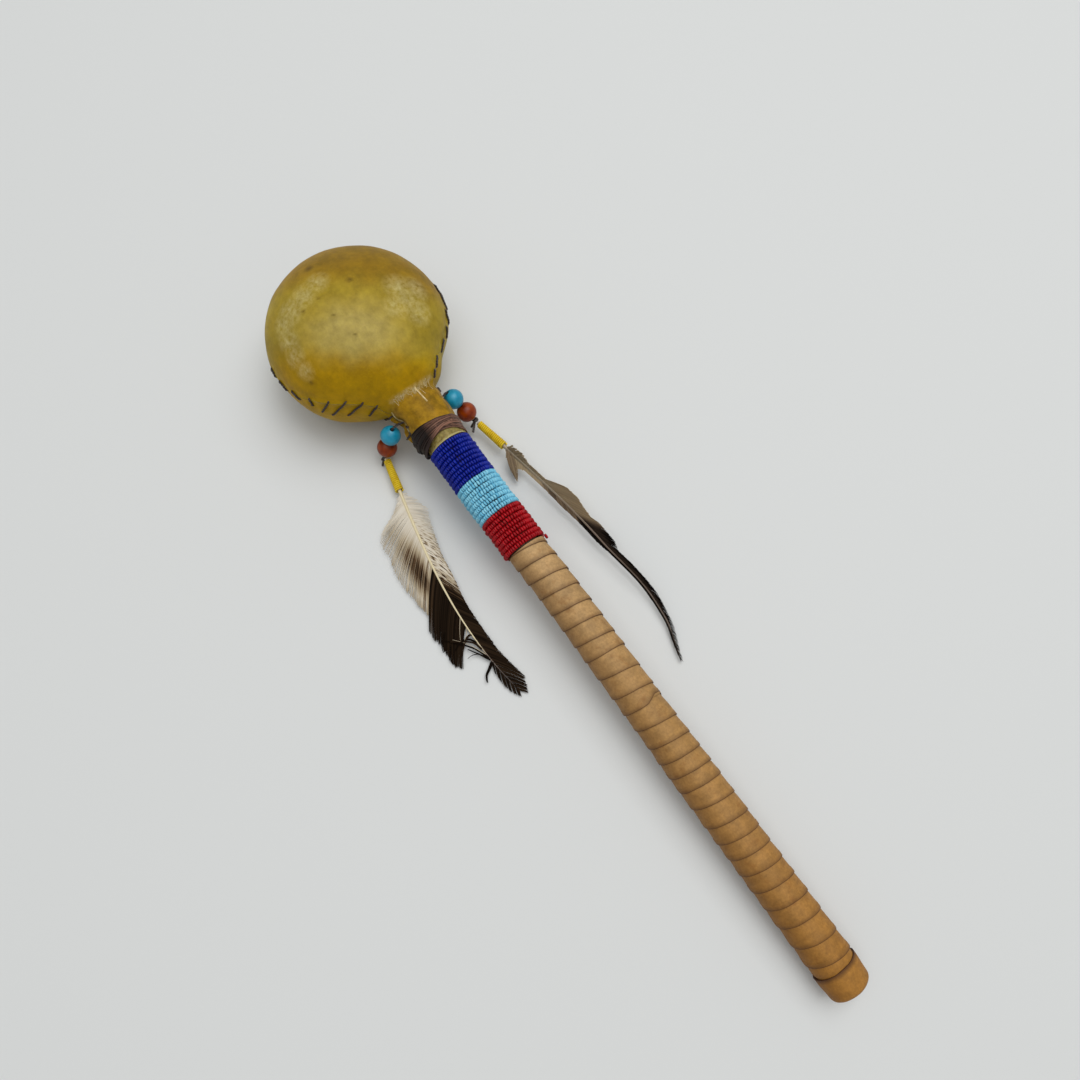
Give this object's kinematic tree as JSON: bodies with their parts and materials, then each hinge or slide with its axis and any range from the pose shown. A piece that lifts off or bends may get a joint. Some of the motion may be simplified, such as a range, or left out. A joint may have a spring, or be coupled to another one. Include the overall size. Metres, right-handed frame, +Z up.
{
  "type": "hide rattle",
  "caption": "Hand rattle: a laced rawhide head with loose pebbles, a bound and beaded neck, a leather-wrapped handle, and hanging drops of beads and feathers that swing.",
  "frame": {"origin": "on the flat under the head, where it rests on the table, below the handle's line", "axes": "+Z up from the table, +X from the head to the butt, -Y the side of the broad pale feather"},
  "size_m": [0.3608, 0.087, 0.0559],
  "materials": {
    "rawhide": "translucent amber rawhide, mottled, satin",
    "waxed_sinew": "dark waxed sinew, dull",
    "waxed_cord": "brown-black waxed cord, dull sheen",
    "wood": "plain unfinished wood",
    "tan_leather": "soft tan leather with dark cut edges, matte",
    "cobalt_glass": "opaque dark blue seed beads, glossy",
    "sky_glass": "opaque light blue seed beads, glossy",
    "red_glass": "opaque dark red seed beads, glossy",
    "turquoise_ceramic": "glazed blue ceramic, mottled, glossy",
    "russet_ceramic": "glazed red-brown ceramic, mottled, glossy",
    "yellow_thread": "tightly wound yellow thread, satin",
    "pale_feather": "cream feather, brown streaks, dark tip",
    "dark_feather": "grey-brown feather, black edge and tip",
    "stone": "small dull pebbles"
  },
  "bodies": {
    "rattle": {"upper_shell": "rawhide", "lower_shell": "rawhide", "seam_lace": "waxed_sinew", "handle_stick": "wood", "neck_binding": "waxed_cord", "cobalt_beads": "cobalt_glass", "sky_beads": "sky_glass", "red_beads": "red_glass", "leather_wrap": "tan_leather", "butt_cap": "tan_leather"},
    "pebble_1": {"pebble_1": "stone"},
    "pebble_2": {"pebble_2": "stone"},
    "pebble_3": {"pebble_3": "stone"},
    "pebble_4": {"pebble_4": "stone"},
    "pebble_5": {"pebble_5": "stone"},
    "pebble_6": {"pebble_6": "stone"},
    "pebble_7": {"pebble_7": "stone"},
    "left_drop": {"left_thong": "waxed_sinew", "left_knot": "waxed_sinew"},
    "left_turquoise": {"left_turquoise_bead": "turquoise_ceramic"},
    "left_russet": {"left_russet_bead": "russet_ceramic"},
    "left_plume": {"left_quill_wrap": "yellow_thread", "left_feather": "pale_feather"},
    "right_drop": {"right_thong": "waxed_sinew", "right_knot": "waxed_sinew"},
    "right_turquoise": {"right_turquoise_bead": "turquoise_ceramic"},
    "right_russet": {"right_russet_bead": "russet_ceramic"},
    "right_plume": {"right_quill_wrap": "yellow_thread", "right_feather": "dark_feather"}
  },
  "joints": [
    {"name": "pebble_1_rise", "type": "slide", "parent": "rattle", "child": "pebble_1", "axis": [0, 0, 1], "range_m": [0, 0.039]},
    {"name": "pebble_2_rise", "type": "slide", "parent": "rattle", "child": "pebble_2", "axis": [0, 0, 1], "range_m": [0, 0.0408]},
    {"name": "pebble_3_rise", "type": "slide", "parent": "rattle", "child": "pebble_3", "axis": [0, 0, 1], "range_m": [0, 0.0399]},
    {"name": "pebble_4_rise", "type": "slide", "parent": "rattle", "child": "pebble_4", "axis": [0, 0, 1], "range_m": [0, 0.0394]},
    {"name": "pebble_5_rise", "type": "slide", "parent": "rattle", "child": "pebble_5", "axis": [0, 0, 1], "range_m": [0, 0.0411]},
    {"name": "pebble_6_rise", "type": "slide", "parent": "rattle", "child": "pebble_6", "axis": [0, 0, 1], "range_m": [0, 0.0391]},
    {"name": "pebble_7_rise", "type": "slide", "parent": "rattle", "child": "pebble_7", "axis": [0, 0, 1], "range_m": [0, 0.0403]},
    {"name": "left_drop_swing", "type": "hinge", "parent": "rattle", "child": "left_drop", "pos_m": [0.04372, -0.01003, 0.02468], "axis": [-1, 0, 0], "range_deg": [0, 60]},
    {"name": "left_turquoise_spin", "type": "hinge", "parent": "left_drop", "child": "left_turquoise", "pos_m": [0.04278, -0.01723, 0.01874], "axis": [-0.01, 0.3948, 0.9187], "continuous": true},
    {"name": "left_russet_spin", "type": "hinge", "parent": "left_drop", "child": "left_russet", "pos_m": [0.04287, -0.02078, 0.01047], "axis": [-0.01, 0.3948, 0.9187], "continuous": true},
    {"name": "left_feather_turn", "type": "hinge", "parent": "left_drop", "child": "left_plume", "pos_m": [0.04292, -0.02313, 0.005], "axis": [0, 0, 1], "range_deg": [-60, 5]},
    {"name": "right_drop_swing", "type": "hinge", "parent": "rattle", "child": "right_drop", "pos_m": [0.04372, 0.01003, 0.02468], "axis": [1, 0, 0], "range_deg": [0, 60]},
    {"name": "right_turquoise_spin", "type": "hinge", "parent": "right_drop", "child": "right_turquoise", "pos_m": [0.04429, 0.01398, 0.0181], "axis": [-0.6043, -0.2709, 0.7493], "continuous": true},
    {"name": "right_russet_spin", "type": "hinge", "parent": "right_drop", "child": "right_russet", "pos_m": [0.04973, 0.01642, 0.01136], "axis": [-0.6043, -0.2709, 0.7493], "continuous": true},
    {"name": "right_feather_turn", "type": "hinge", "parent": "right_drop", "child": "right_plume", "pos_m": [0.05332, 0.01803, 0.0069], "axis": [0, 0, 1], "range_deg": [-5, 60]}
  ]
}
